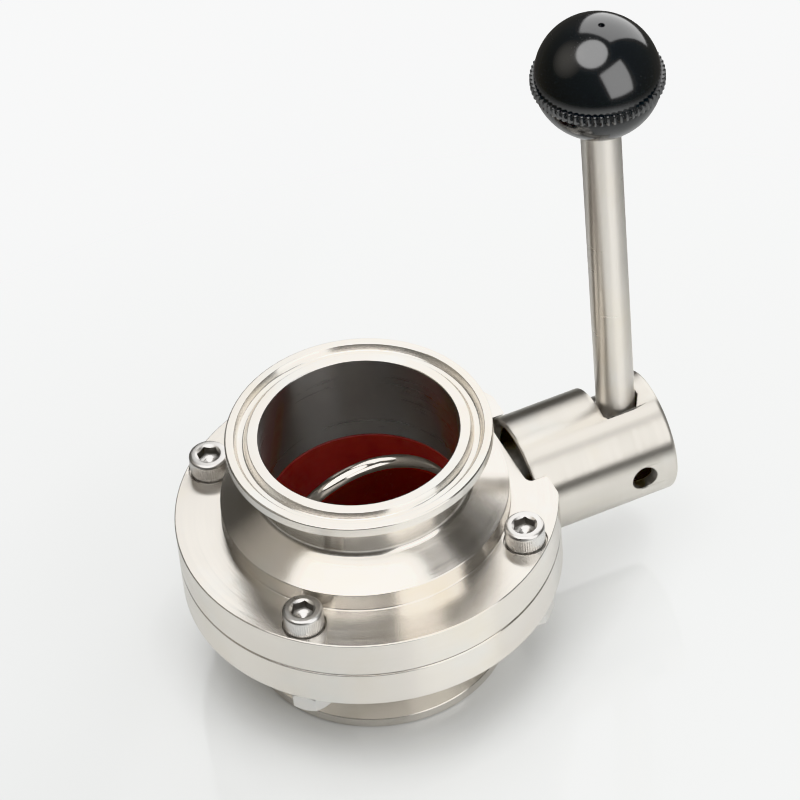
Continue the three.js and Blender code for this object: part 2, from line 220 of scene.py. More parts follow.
def lathe(outline, segments=192, shape=None):
    """Turns a closed outline of (radius, height) points about Z. shape(r, z, angle) may change a radius."""
    bm = bmesh.new()
    rings = []
    for r, z in outline:
        if r < 1e-6:
            rings.append([bm.verts.new((0, 0, z))])
            continue
        ring = []
        for k in range(segments):
            angle = math.tau * k / segments
            radius = shape(r, z, angle) if shape else r
            ring.append(bm.verts.new((radius * math.cos(angle), radius * math.sin(angle), z)))
        rings.append(ring)
    for lower, upper in zip(rings, rings[1:] + rings[:1]):
        for k in range(segments):
            corners = [lower[k % len(lower)], lower[(k + 1) % segments % len(lower)],
                       upper[(k + 1) % segments % len(upper)], upper[k % len(upper)]]
            face = list(dict.fromkeys(corners))
            if len(face) > 2:
                bm.faces.new(face)
    return mesh_of(bm)


def cylinder(radius, z0, z1, segments=96):
    return lathe([(0, z0), (radius, z0), (radius, z1), (0, z1)], segments)


def cone(r0, z0, r1, z1, segments=96):
    return lathe([(0, z0), (r0, z0), (r1, z1), (0, z1)], segments)


def block(x, y, z):
    bm = bmesh.new()
    bmesh.ops.create_cube(bm, size=1)
    size = [high - low for low, high in (x, y, z)]
    middle = [(low + high) / 2 for low, high in (x, y, z)]
    bm.transform(Matrix.Translation(middle) @ Matrix.Diagonal((*size, 1)))
    return mesh_of(bm)


def hexagon(flats, z0, z1):
    """A hexagonal prism with two corners on the Y axis."""
    corner = flats / math.sqrt(3)
    return moved(lathe([(0, z0), (corner, z0), (corner, z1), (0, z1)], 6), turned_by(30, "Z"))


def prism(outline, z0, z1):
    """A solid with the same (x, y) outline from z0 to z1."""
    bm = bmesh.new()
    floor, roof = ([bm.verts.new((*point[:2], z)) for point in outline] for z in (z0, z1))
    bm.faces.new(floor)
    bm.faces.new(roof)
    for i in range(len(outline)):
        bm.faces.new((floor[i - 1], floor[i], roof[i], roof[i - 1]))
    return mesh_of(bm)


def moved(mesh, *steps):
    """The mesh after these matrices, in the order given, with its faces still outward after a mirror image."""
    for step in steps:
        mesh.transform(step)
        if step.determinant() < 0:
            mesh.flip_normals()
    return mesh


def along_x(mesh):
    return moved(mesh, Matrix.Rotation(math.pi / 2, 4, "Y"))


def turned_by(degrees, axis):
    return Matrix.Rotation(math.radians(degrees), 4, axis)


def shifted(x, y, z):
    return Matrix.Translation((x, y, z))


def combine(base, operation, tools):
    """Joins (UNION), cuts (DIFFERENCE) or trims (INTERSECT) a mesh with others."""
    solid = bpy.data.objects.new("solid", base)
    bpy.context.scene.collection.objects.link(solid)
    helpers = []
    for tool in tools:
        helper = bpy.data.objects.new("tool", tool)
        bpy.context.scene.collection.objects.link(helper)
        helpers.append(helper)
        step = solid.modifiers.new("step", "BOOLEAN")
        step.operation, step.solver, step.object = operation, "MANIFOLD", helper
    bpy.context.view_layer.update()
    made = bpy.data.meshes.new_from_object(solid.evaluated_get(bpy.context.evaluated_depsgraph_get()))
    for used in [solid, *helpers]:
        bpy.data.objects.remove(used)
    return made


def eased(mesh, width, angle=35):
    """The mesh with its sharp edges broken by a narrow rounded bevel."""
    bm = bmesh.new()
    bm.from_mesh(mesh)
    bmesh.ops.remove_doubles(bm, verts=bm.verts, dist=SLIVER)
    bmesh.ops.dissolve_degenerate(bm, edges=bm.edges, dist=SLIVER)
    bm.to_mesh(mesh)
    bm.free()
    holder = bpy.data.objects.new("holder", mesh)
    bpy.context.scene.collection.objects.link(holder)
    bevel = holder.modifiers.new("bevel", "BEVEL")
    bevel.limit_method, bevel.angle_limit = "ANGLE", math.radians(angle)
    bevel.width, bevel.segments = width, 2
    bevel.use_clamp_overlap = False
    bpy.context.view_layer.update()
    made = bpy.data.meshes.new_from_object(holder.evaluated_get(bpy.context.evaluated_depsgraph_get()))
    bpy.data.objects.remove(holder)
    return made


def put_in_place(name, mesh, material, body, slot, *nodes, finishes=()):
    """Brings a mesh in millimetres into the row frame as a smooth-shaded piece that stands for the CAD nodes.

    Each finish is a second material and a test: it goes on the faces whose middle and normal pass the test."""
    mesh.materials.clear()
    for used in (material, *(other for other, _ in finishes)):
        mesh.materials.append(used)
    bm = bmesh.new()
    bm.from_mesh(mesh)
    bmesh.ops.remove_doubles(bm, verts=bm.verts, dist=WELD)
    for face in bm.faces:
        face.smooth = True
        middle, normal = face.calc_center_median(), face.normal
        face.material_index = next((i for i, (_, test) in enumerate(finishes, start=1) if test(middle, normal)), 0)
    bm.transform(Matrix.Translation(CROSSING) @ Matrix.Scale(MM, 4))
    for edge in bm.edges:
        edge.smooth = len(edge.link_faces) == 2 and edge.calc_face_angle(0) < SMOOTH_BELOW
    bm.to_mesh(mesh)
    bm.free()
    piece = bpy.data.objects.new(name, mesh)
    bpy.context.scene.collection.objects.link(piece)
    shading = piece.modifiers.new("even_shading", "WEIGHTED_NORMAL")
    shading.keep_sharp = True
    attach(piece, body)
    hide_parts(*nodes)
    return piece


# ---------------------------------------------------------------- materials
class Nodes:
    """A material's node tree with short ways to add and link nodes."""

    def __init__(self, name):
        self.material = bpy.data.materials.new(name)
        self.material.use_nodes = True
        self.tree = self.material.node_tree
        self.shader = self.tree.nodes["Principled BSDF"]
        self.place = self.add("ShaderNodeTexCoord").outputs["Object"]

    def add(self, kind, **settings):
        node = self.tree.nodes.new(kind)
        for key, value in settings.items():
            setattr(node, key, value)
        return node

    def link(self, output, node, socket):
        self.tree.links.new(output, node.inputs[socket])

    def maths(self, operation, a, b=0.0):
        node = self.add("ShaderNodeMath", operation=operation)
        for i, value in enumerate((a, b)):
            if isinstance(value, (int, float)):
                node.inputs[i].default_value = value
            else:
                self.link(value, node, i)
        return node.outputs[0]

    def vector(self, x, y, z):
        node = self.add("ShaderNodeCombineXYZ")
        for i, value in enumerate((x, y, z)):
            if isinstance(value, (int, float)):
                node.inputs[i].default_value = value
            else:
                self.link(value, node, i)
        return node.outputs[0]

    def noise(self, where, scale, detail=3.0, roughness=0.5):
        node = self.add("ShaderNodeTexNoise")
        self.link(where, node, "Vector")
        node.inputs["Scale"].default_value = scale
        node.inputs["Detail"].default_value = detail
        node.inputs["Roughness"].default_value = roughness
        return node.outputs["Fac"]

    def spread(self, value, low, high, to_low, to_high, way="LINEAR"):
        node = self.add("ShaderNodeMapRange", interpolation_type=way)
        self.link(value, node, "Value")
        for socket, number in (("From Min", low), ("From Max", high), ("To Min", to_low), ("To Max", to_high)):
            node.inputs[socket].default_value = number
        return node.outputs["Result"]

    def blend(self, factor, colour_a, colour_b):
        node = self.add("ShaderNodeMix", data_type="RGBA")
        self.link(factor, node, "Factor")
        for socket, colour in ((6, colour_a), (7, colour_b)):
            if isinstance(colour, tuple):
                node.inputs[socket].default_value = (*colour, 1)
            else:
                self.link(colour, node, socket)
        return node.outputs[2]

    def fade_out(self, amount):
        """Lets the surface vanish where amount is 1."""
        clear = self.add("ShaderNodeBsdfTransparent")
        mix = self.add("ShaderNodeMixShader")
        self.link(amount, mix, 0)
        self.link(self.shader.outputs[0], mix, 1)
        self.link(clear.outputs[0], mix, 2)
        self.link(mix.outputs[0], self.tree.nodes["Material Output"], "Surface")

    def bump(self, height, strength, distance):
        node = self.add("ShaderNodeBump")
        node.inputs["Strength"].default_value = strength
        node.inputs["Distance"].default_value = distance
        self.link(height, node, "Height")
        self.link(node.outputs["Normal"], self.shader, "Normal")


WARM_TINT = (0.70, 0.64, 0.53)
COOL_TINT = (0.62, 0.67, 0.68)


def steel(name, axis, centre=(0, 0, 0), colour=(0.72, 0.685, 0.635), stain=0.5, roughness=(0.19, 0.27),
          anisotropy=0.85, line_pitch=0.00022, line_height=6e-7):
    """Faintly stained stainless steel, with fine turned lines round the axis, or without a grain for "NONE"."""
    n = Nodes(name)
    split = n.add("ShaderNodeSeparateXYZ")
    n.link(n.place, split, 0)
    x, y, z = (n.maths("SUBTRACT", split.outputs[i], centre[i]) for i in range(3))
    if axis == "Z":
        radius = n.maths("SQRT", n.maths("ADD", n.maths("MULTIPLY", x, x), n.maths("MULTIPLY", y, y)))
        across, lines = n.vector(n.maths("MULTIPLY", y, -1), x, 0), n.vector(radius, z, 0)
    elif axis == "X":
        radius = n.maths("SQRT", n.maths("ADD", n.maths("MULTIPLY", y, y), n.maths("MULTIPLY", z, z)))
        across, lines = n.vector(0, n.maths("MULTIPLY", z, -1), y), n.vector(radius, x, 0)
    else:
        across, lines = n.vector(0, 0, 1), n.vector(x, y, z)
    n.link(across, n.shader, "Tangent")
    n.shader.inputs["Anisotropic"].default_value = anisotropy
    n.shader.inputs["Anisotropic Rotation"].default_value = 0.25
    n.shader.inputs["Metallic"].default_value = 1
    fine = n.noise(lines, 1 / line_pitch, 2.0, 0.6)
    streaks = n.noise(lines, 0.16 / line_pitch, 3.0, 0.65)
    broad = n.noise(n.place, 60, 4.0, 0.55)
    warm = n.spread(n.noise(n.place, 34, 4.0, 0.6), 0.52, 0.72, 0, stain)
    cool = n.spread(n.noise(n.place, 47, 3.0, 0.55), 0.55, 0.75, 0, stain * 0.7)
    n.link(n.blend(cool, n.blend(warm, colour, WARM_TINT), COOL_TINT), n.shader, "Base Color")
    mixed = n.maths("ADD", n.maths("MULTIPLY", fine, 0.25),
                    n.maths("ADD", n.maths("MULTIPLY", streaks, 0.35), n.maths("MULTIPLY", broad, 0.4)))
    n.link(n.spread(mixed, 0.38, 0.62, *roughness), n.shader, "Roughness")
    if line_height:
        n.bump(n.maths("ADD", fine, n.maths("MULTIPLY", streaks, 0.6)), 1.0, line_height)
    return n.material


def recess_shade_steel(name):
    """Painted shade for the inside of holes, sockets and narrow gaps: dark steel with a faint mottle."""
    n = Nodes(name)
    recess_noise = n.noise(n.place, 900, 3.0)
    n.link(n.blend(recess_noise, (0.08, 0.075, 0.068), (0.16, 0.15, 0.135)), n.shader, "Base Color")
    n.link(n.spread(recess_noise, 0.3, 0.7, 0.35, 0.55), n.shader, "Roughness")
    n.shader.inputs["Metallic"].default_value = 1
    return n.material


def silicone(name):
    """Satin silicone rubber, very slightly mottled."""
    n = Nodes(name)
    mottle = n.noise(n.place, 160, 4.0)
    n.link(n.blend(n.spread(mottle, 0.35, 0.65, 0, 1), (0.20, 0.016, 0.015), (0.27, 0.022, 0.020)),
           n.shader, "Base Color")
    n.link(n.spread(n.noise(n.place, 700, 2.0), 0.3, 0.7, 0.42, 0.56), n.shader, "Roughness")
    n.shader.inputs["Specular IOR Level"].default_value = 0.3
    n.shader.inputs["Subsurface Weight"].default_value = 0.05
    n.shader.inputs["Subsurface Radius"].default_value = (0.0012, 0.0003, 0.0003)
    n.bump(n.noise(n.place, 2500, 2.0), 0.5, 0.00001)
    return n.material


def black_plastic(name, specular_level):
    """Black thermoset plastic with a faint haze and a few dull specks."""
    n = Nodes(name)
    haze = n.noise(n.place, 90, 4.0)
    n.link(n.blend(haze, (0.003, 0.004, 0.005), (0.006, 0.007, 0.008)), n.shader, "Base Color")
    specks = n.spread(n.noise(n.place, 2600, 1.0), 0.71, 0.76, 0, 0.15)
    n.link(n.maths("ADD", n.spread(haze, 0.3, 0.7, 0.09, 0.14), specks), n.shader, "Roughness")
    n.shader.inputs["IOR"].default_value = 1.6
    n.shader.inputs["Specular IOR Level"].default_value = specular_level
    n.bump(n.noise(n.place, 140, 3.0), 0.2, 0.00002)
    return n.material


def white_plastic(name):
    n = Nodes(name)
    cloud = n.noise(n.place, 220, 3.0)
    n.link(n.blend(cloud, (0.80, 0.79, 0.74), (0.88, 0.87, 0.83)), n.shader, "Base Color")
    n.link(n.spread(cloud, 0.3, 0.7, 0.42, 0.58), n.shader, "Roughness")
    n.bump(n.noise(n.place, 1800, 2.0), 0.4, 0.00001)
    return n.material


def brass(name):
    n = Nodes(name)
    tarnish = n.noise(n.place, 180, 4.0)
    n.link(n.blend(tarnish, (0.62, 0.43, 0.18), (0.74, 0.56, 0.28)), n.shader, "Base Color")
    n.link(n.spread(tarnish, 0.3, 0.7, 0.24, 0.4), n.shader, "Roughness")
    n.shader.inputs["Metallic"].default_value = 1
    n.bump(n.noise(n.place, 1500, 2.0), 0.4, 0.000008)
    return n.material


STEM_AXIS = tuple(CROSSING)
ROD_AXIS = (ROD_X * MM, 0, 0)
BODY_STEEL = steel("turned_body_steel", "Z")
SEAT_RED = silicone("red_silicone")
# The bore's steel is coloured darker than the body's: painted shade inside the bore.
BORE_SHADED_STEEL = steel("polished_bore_painted_shade_steel", "Z", colour=(0.40, 0.385, 0.365), stain=0.2, roughness=(0.26, 0.32),
                   anisotropy=0.95, line_height=0)
DISC_STEEL = steel("polished_disc_steel", "Z", stain=0.2, roughness=(0.07, 0.12), anisotropy=0, line_height=1e-7)
# The disc's faces are coloured far darker than its rim: painted shade, where the faces see the shaded bore.
DISC_FACE_SHADED_STEEL = steel("satin_disc_painted_shade_steel", "NONE", colour=(0.26, 0.25, 0.24), stain=0.2, roughness=(0.2, 0.28),
                        anisotropy=0, line_height=0)
SLEEVE_STEEL = steel("turned_sleeve_steel", "X", STEM_AXIS, colour=(0.63, 0.60, 0.55), roughness=(0.32, 0.42),
                     anisotropy=0.9)
CORE_STEEL = steel("machined_core_steel", "X", STEM_AXIS, colour=(0.52, 0.50, 0.47), roughness=(0.28, 0.38))
ROD_STEEL = steel("polished_rod_steel", "Z", ROD_AXIS, colour=(0.70, 0.665, 0.615), roughness=(0.27, 0.31),
                  line_pitch=0.0008, line_height=0)
SCREW_STEEL = steel("screw_steel", "NONE", colour=(0.62, 0.605, 0.585), stain=0.3, roughness=(0.24, 0.38),
                    anisotropy=0, line_height=1.2e-6)
# Painted shade: socket walls, the lock screw and its hole, and the gap at the sleeve's end are coloured dark.
RECESS_SHADE = recess_shade_steel("recess_painted_shade_steel")
KNOB_BLACK = black_plastic("polished_black_plastic", 0.75)
KNOB_LOWER_BLACK = black_plastic("moulded_black_plastic", 0.2)
BUSH_WHITE = white_plastic("white_bush_plastic")
INSERT_BRASS = brass("machined_brass")


# ---------------------------------------------------------------- pieces
def body_half_outline():
    """The turned section of the half above the split plane, counter-clockwise from its inner lower corner."""
    rim_foot = FACE_Z - RIM_T
    recess_z = SEAT_HALF + GAP
    neck_top = rim_foot - (FERRULE_R - NECK_R) * RIM_TAPER
    groove_edge = GROOVE_HALF + 0.1
    return rounded([
        (SEAT_LIP_R + GAP, SPLIT_GAP, 0.2),
        (FLANGE_R, SPLIT_GAP, 0.35),
        (FLANGE_R, FLANGE_T, 0.3),
        (SHOULDER_R, FLANGE_T, 0.25),
        (SHOULDER_R, SHOULDER_Z, 0.3),
        (NECK_R, NECK_FOOT_Z, NECK_FILLET),
        (NECK_R, neck_top, 0.8),
        (FERRULE_R, rim_foot, 0.3),
        (FERRULE_R, FACE_Z, 0.45),
        (GROOVE_R + groove_edge, FACE_Z, 0.3),
        (GROOVE_R + 0.75, FACE_Z - GROOVE_DEPTH, 0.7),
        (GROOVE_R - 0.75, FACE_Z - GROOVE_DEPTH, 0.7),
        (GROOVE_R - groove_edge, FACE_Z, 0.3),
        (BORE_R, FACE_Z, 0.3),
        (BORE_R, recess_z, 0.15),
        (SEAT_OUTER_R + GAP, recess_z, 0.2),
        (SEAT_OUTER_R + GAP, SEAT_LIP_HALF + GAP, 0.2),
        (SEAT_LIP_R + GAP, SEAT_LIP_HALF + GAP, 0.2),
    ], steps=5)


def screw_place(degrees):
    return SCREW_CIRCLE_R * math.cos(math.radians(degrees)), SCREW_CIRCLE_R * math.sin(math.radians(degrees))


def body_half(spotfaced):
    """The half above the split plane, with half of the boss that the sleeve sits on."""
    outward = FLANGE_R + 10
    turned = lathe(body_half_outline(), 256)
    flat = block((FLAT_X, outward), (-outward, outward), (-1, FACE_Z))
    pocket = along_x(lathe(rounded([(0, POCKET_X, 0), (POCKET_R, POCKET_X, POCKET_CORNER),
                                    (POCKET_R, outward, 0), (0, outward, 0)], steps=8), 192))
    round_boss = along_x(lathe(rounded([
        (0, POCKET_X - 2, 0), (BOSS_RELIEF_R, POCKET_X - 2, 0), (BOSS_RELIEF_R, BOSS_RELIEF_END_X, 0.4),
        (BOSS_R, BOSS_RELIEF_END_X, 0.3), (BOSS_R, BOSS_END_X, 0.5), (0, BOSS_END_X, 0)]), 128))
    half_round = combine(round_boss, "INTERSECT",
                         [block((POCKET_X - 3, BOSS_END_X + 1), (-BOSS_R - 1, BOSS_R + 1), (SPLIT_GAP, BOSS_R + 1))])
    stem_bore = along_x(cylinder(STEM_BORE_R, FAR_BORE_END_X, BOSS_END_X + 1))
    tools = [stem_bore]
    for degrees in SCREW_ANGLES:
        x, y = screw_place(degrees)
        tools.append(moved(cylinder(SCREW_R + GAP, -1, FLANGE_T + 1), shifted(x, y, 0)))
        if spotfaced:
            tools.append(moved(cylinder(SPOTFACE_R, FLANGE_T - HEAD_SINK - GAP, FLANGE_T + 2), shifted(x, y, 0)))
    shaped = combine(combine(turned, "DIFFERENCE", [flat, pocket]), "UNION", [half_round])
    return eased(combine(shaped, "DIFFERENCE", tools), 0.18)


def in_bore(middle, normal):
    """The wall of the bore."""
    return math.hypot(middle.x, middle.y) < BORE_R + 0.1 and abs(normal.z) < 0.5


def on_disc_face(middle, normal):
    """The two faces of the disc inside its rounded rim."""
    return math.hypot(middle.x, middle.z) < DISC_R - DISC_BEAD and abs(normal.y) > 0.85


def in_pocket(middle, normal):
    """The narrow space between the pocket and the end of the sleeve."""
    return middle.x > POCKET_X - 0.1 and math.hypot(middle.y, middle.z) < POCKET_R - POCKET_CORNER + 0.1


def in_lock_hole(middle, normal):
    """The threaded hole of the lock screw, on the side of the core that faces -Y."""
    return middle.y < 0 and math.hypot(middle.x - ROD_X, middle.z) < LOCK_SCREW_R + GAP + 0.1


def seat_ring():
    """The silicone seat: a tube with a lip that the halves clamp, and holes for the stems and bushes."""
    crown = 0.5
    ring = lathe(rounded([
        (SEAT_R, -SEAT_HALF, crown),
        (SEAT_OUTER_R, -SEAT_HALF, 0.3),
        (SEAT_OUTER_R, -SEAT_LIP_HALF, 0.2),
        (SEAT_LIP_R, -SEAT_LIP_HALF, 0.4),
        (SEAT_LIP_R, SEAT_LIP_HALF, 0.4),
        (SEAT_OUTER_R, SEAT_LIP_HALF, 0.2),
        (SEAT_OUTER_R, SEAT_HALF, 0.3),
        (SEAT_R, SEAT_HALF, crown),
    ]), 256)
    reach = SEAT_LIP_R + 1
    clear = SEAT_OUTER_R + 0.2
    holes = [along_x(cylinder(BUSH_BORE_R, -reach, reach)),
             along_x(cylinder(STEM_BORE_R, -reach, -clear)),
             along_x(cylinder(STEM_BORE_R, clear, reach))]
    return eased(combine(ring, "DIFFERENCE", holes), 0.15)


def disc_and_stems():
    """The disc on edge with its rounded rim bead, the hubs that taper into it, both stems and the square tang."""
    bead = DISC_BEAD
    upper = [*arc(DISC_R - bead, 0, bead, 0, 90, 12),
             *(Vector(point) for point in DISC_FACE)]
    section = upper + [Vector((x, -y)) for x, y in reversed(upper[1:])]
    plate = moved(lathe(section, 256), turned_by(90, "X"))
    hubs = []
    for side in (1, -1):
        hub = lathe(rounded([(0, HUB_TIP_X, 0), (HUB_TIP_R, HUB_TIP_X, 0), (HUB_R, HUB_X[0], 3),
                             (HUB_R, HUB_X[1], 0.4), (0, HUB_X[1], 0)]), 96)
        hubs.append(moved(hub, turned_by(90 * side, "Y")))
    stem = along_x(lathe(rounded([(0, FAR_STEM_X, 0), (STEM_R, FAR_STEM_X, 0.5),
                                  (STEM_R, DRIVE_STEM_X, 0.3), (0, DRIVE_STEM_X, 0)]), 96))
    half = TANG / 2
    tang = block((DRIVE_STEM_X - 2, TANG_END_X), (-half, half), (-half, half))
    pin_hole = moved(cylinder(PIN_R + GAP, -TANG, TANG, 48), shifted(PIN_X, 0, 0))
    whole = combine(plate, "UNION", [*hubs, stem, tang])
    return eased(combine(whole, "DIFFERENCE", [pin_hole]), 0.2)


def bush(x0, x1):
    return along_x(lathe(rounded([(BUSH_BORE_R, x0, 0.3), (BUSH_R, x0, 0.4),
                                  (BUSH_R, x1, 0.4), (BUSH_BORE_R, x1, 0.3)]), 96))


def stem_seal(node):
    """An O-ring round the stem, as wide as the CAD node."""
    low, high = cad_box(node)
    wire = (high.x - low.x) / 2
    return moved(along_x(lathe(arc(high.y - wire, 0, wire, 0, 330, 11), 96)),
                 shifted((low.x + high.x) / 2, 0, 0))


def thread(start_z):
    """A radius function for a right-hand thread that fades in from start_z downwards."""
    def shape(r, z, angle):
        if z > start_z or r < SCREW_R - 0.01:
            return r
        phase = (z / THREAD_PITCH - angle / math.tau) % 1
        return r - THREAD_DEPTH * min(1, (start_z - z) / 0.8) * (1 - abs(2 * phase - 1))
    return shape


def cap_screw(length, socket_turn):
    """A socket head cap screw, head up, with a knurled head, a hexagon socket and a real thread."""
    knurl_low, knurl_high = 0.7, HEAD_H - 1.0
    thread_shape = thread(-length * 0.35)

    def shape(r, z, angle):
        if r > SCREW_R + 1 and knurl_low < z < knurl_high:
            edge = min(1, (z - knurl_low) / 0.25, (knurl_high - z) / 0.25)
            return r - HEAD_KNURL_DEPTH * edge * (0.5 - 0.5 * math.cos(HEAD_KNURLS * angle))
        return thread_shape(r, z, angle)

    steps = int(length / (THREAD_PITCH / 6))
    shank = [(SCREW_R, -length + 0.6 + (length - 0.8) * k / steps) for k in range(steps + 1)]
    side = [(HEAD_R, z) for z in (0.4, knurl_low, knurl_low + 0.25, knurl_high - 0.25, knurl_high)]
    outline = [(0, -length), (SCREW_R - 0.6, -length), *shank, (SCREW_R + 0.25, -0.02), (HEAD_R - 0.3, 0),
               (HEAD_R - 0.08, 0.12), *side,
               *arc(HEAD_R - 0.85, HEAD_H - 0.85, 0.85, 0, 90, 6), (0, HEAD_H)]
    solid = lathe(outline, HEAD_KNURLS * 4, shape)
    across = SOCKET_FLATS / 2
    floor = HEAD_H - SOCKET_DEPTH
    bottom = lathe([(0, floor - 1.3), (0.8, floor - 0.95), (0.8, floor - 0.85), (1.5, floor - 0.5),
                    (1.5, floor - 0.4), (2.35, floor), (2.35, floor + 0.1), (0, floor + 0.1)], 64)
    socket = combine(moved(hexagon(SOCKET_FLATS, floor, HEAD_H + 1), turned_by(socket_turn, "Z")), "UNION",
                     [bottom, cone(across * 0.98, HEAD_H - 0.45, across * 1.28, HEAD_H + 0.05, 64)])
    return combine(solid, "DIFFERENCE", [socket])


def socket_walls(x, y, top):
    """Tells which faces are the upright walls of a socket whose mouth is at (x, y, top)."""
    reach = SOCKET_FLATS / math.sqrt(3) + 0.05
    return lambda middle, normal: (math.hypot(middle.x - x, middle.y - y) < reach and abs(normal.z) < 0.2
                                   and top - SOCKET_DEPTH - 0.5 < middle.z < top - 0.3)


def hex_nut():
    """A hexagon nut below the height 0, with turned chamfers at both ends and a countersunk bore."""
    corner = NUT_FLATS / math.sqrt(3)
    envelope = lathe([(0, -NUT_H - 0.01), (NUT_FLATS / 2 - 0.25, -NUT_H - 0.01), (corner + 0.1, -NUT_H + 0.95),
                      (corner + 0.1, -0.8), (NUT_FLATS / 2 - 0.1, 0.01), (0, 0.01)], 144)
    body = combine(hexagon(NUT_FLATS, -NUT_H, 0), "INTERSECT", [envelope])
    hole = SCREW_R + GAP
    bore = combine(cylinder(hole, -NUT_H - 1, 1, 64), "UNION",
                   [cone(hole + 0.55, -NUT_H - 0.05, hole, -NUT_H + 0.5, 64), cone(hole, -0.5, hole + 0.55, 0.05, 64)])
    return eased(combine(body, "DIFFERENCE", [bore]), 0.12)


def window_space():
    """The space that the window takes: a slot seen from above, crossed with the same slot seen from +Y."""
    low, high = WINDOW_X
    reach = SLEEVE_R + 2
    outline = rounded([
        (low, -WINDOW_SIDE + WINDOW_INNER_CORNER[1], 0.4),
        (low + WINDOW_INNER_CORNER[0], -WINDOW_SIDE, 0.4),
        (high - WINDOW_OUTER_CORNER[0], -WINDOW_SIDE, 0.5),
        (high, -WINDOW_SIDE + WINDOW_OUTER_CORNER[1], 0.8),
        (high, reach, 0),
        (low, reach, 0),
    ])
    slot = prism(outline, -reach, reach)
    other = moved(slot.copy(), turned_by(90, "X"))
    return combine(slot, "INTERSECT", [other])


def hub_sleeve():
    """The fixed cylinder round the drive core, closed at its outer end, with the window and the screw holes.

    Rings of edges up to and just after the window keep long thin faces, and so uneven shading, away from it."""
    start, end = SLEEVE_X
    before, after = WINDOW_X[0] - 1, WINDOW_X[1] + 1
    rings = [(SLEEVE_R, start + (before - start) * k / SLEEVE_RINGS, 0) for k in range(1, SLEEVE_RINGS + 1)]
    rings.append((SLEEVE_R, after, 0))
    shell = along_x(lathe(rounded([
        (0, end - SLEEVE_END_T, 0),
        (SLEEVE_BORE_R, end - SLEEVE_END_T, 0.5),
        (SLEEVE_BORE_R, start + SLEEVE_MOUTH, 0.3),
        (SLEEVE_BORE_R + SLEEVE_MOUTH, start, 0.2),
        (SLEEVE_R, start, 0.4),
        *rings,
        (SLEEVE_R, end, SLEEVE_ROUND),
        (0, end, 0),
    ], steps=6), 256))
    tools = [window_space(), moved(cylinder(KEY_HOLE_R, CORE_R - 2, SLEEVE_R + 2), turned_by(90, "X"),
                           shifted(ROD_X, 0, 0))]
    for degrees in SET_SCREW_ANGLES:
        tools.append(moved(cylinder(SET_SCREW_R + GAP, BOSS_R - 1, SLEEVE_R + 2, 64), turned_by(-degrees, "X"),
                           shifted(SET_SCREW_X, 0, 0)))
    return eased(combine(shell, "DIFFERENCE", tools), 0.22)


def set_screw(degrees):
    """A grub screw on the sleeve's boss; degrees are measured from +Z towards +Y."""
    top = SLEEVE_R - 0.4
    body = lathe(rounded([(0, BOSS_R + GAP, 0), (SET_SCREW_R, BOSS_R + GAP, 0.5), (SET_SCREW_R, top, 0.3),
                          (0, top, 0)]), 64)
    socket = combine(hexagon(2, top - 1.6, top + 1), "UNION", [cone(0.9, top - 0.3, 1.3, top + 0.05, 48)])
    return moved(combine(body, "DIFFERENCE", [socket]), turned_by(-degrees, "X"), shifted(SET_SCREW_X, 0, 0))


def drive_core():
    """The turning cylinder inside the sleeve, square on the tang, with holes for the rod, its screw and the pin."""
    start, end = CORE_X
    body = along_x(lathe(rounded([(0, start, 0), (CORE_R, start, 0.5), (CORE_R, end, 0.5), (0, end, 0)]), 192))
    half = TANG / 2 + GAP
    tools = [block((start - 1, TANG_END_X + GAP), (-half, half), (-half, half)),
             moved(cylinder(ROD_R + GAP, ROD_FOOT_Z - GAP, CORE_R + 1), shifted(ROD_X, 0, 0)),
             moved(cylinder(LOCK_SCREW_R + GAP, 0, CORE_R + 1), turned_by(90, "X"), shifted(ROD_X, 0, 0)),
             moved(cylinder(PIN_R + GAP, -CORE_R - 1, CORE_R + 1, 48), shifted(PIN_X, 0, 0))]
    return eased(combine(body, "DIFFERENCE", tools), 0.2)


def core_pin():
    low, high = cad_box("core_pin")
    return moved(lathe(rounded([(0, low.z, 0), (PIN_R, low.z, 0.4), (PIN_R, high.z, 0.4), (0, high.z, 0)]), 64),
                 shifted(PIN_X, 0, 0))


def knob_foot_z():
    """The height of the knob's flat foot."""
    return KNOB_Z - math.sqrt(KNOB_LOWER_R ** 2 - KNOB_FOOT_R ** 2)


def handle_rod():
    shoulder = knob_foot_z() - GAP
    bar = lathe(rounded([
        (0, ROD_FOOT_Z, 0), (ROD_R, ROD_FOOT_Z, 0.4), (ROD_R, shoulder, 0.4), (ROD_TIP_R, shoulder, 0.2),
        (ROD_TIP_R, ROD_TIP_Z, 0.5), (0, ROD_TIP_Z, 0)]), 128)
    return moved(bar, shifted(ROD_X, 0, 0))


def rod_lock_screw():
    """The grub screw that presses on the rod's flank, its socket towards -Y."""
    low, high = cad_box("rod_lock_screw")
    inner, outer = -high.y, -low.y
    body = lathe(rounded([(0, inner, 0), (LOCK_SCREW_R, inner, 0.6), (LOCK_SCREW_R, outer, 0.4), (0, outer, 0)]), 96)
    socket = combine(hexagon(LOCK_SOCKET_FLATS, outer - LOCK_SOCKET_DEPTH, outer + 1), "UNION",
                     [cone(1.4, outer - 0.3, 1.9, outer + 0.05, 64)])
    return moved(combine(body, "DIFFERENCE", [socket]), turned_by(90, "X"), shifted(ROD_X, 0, 0))


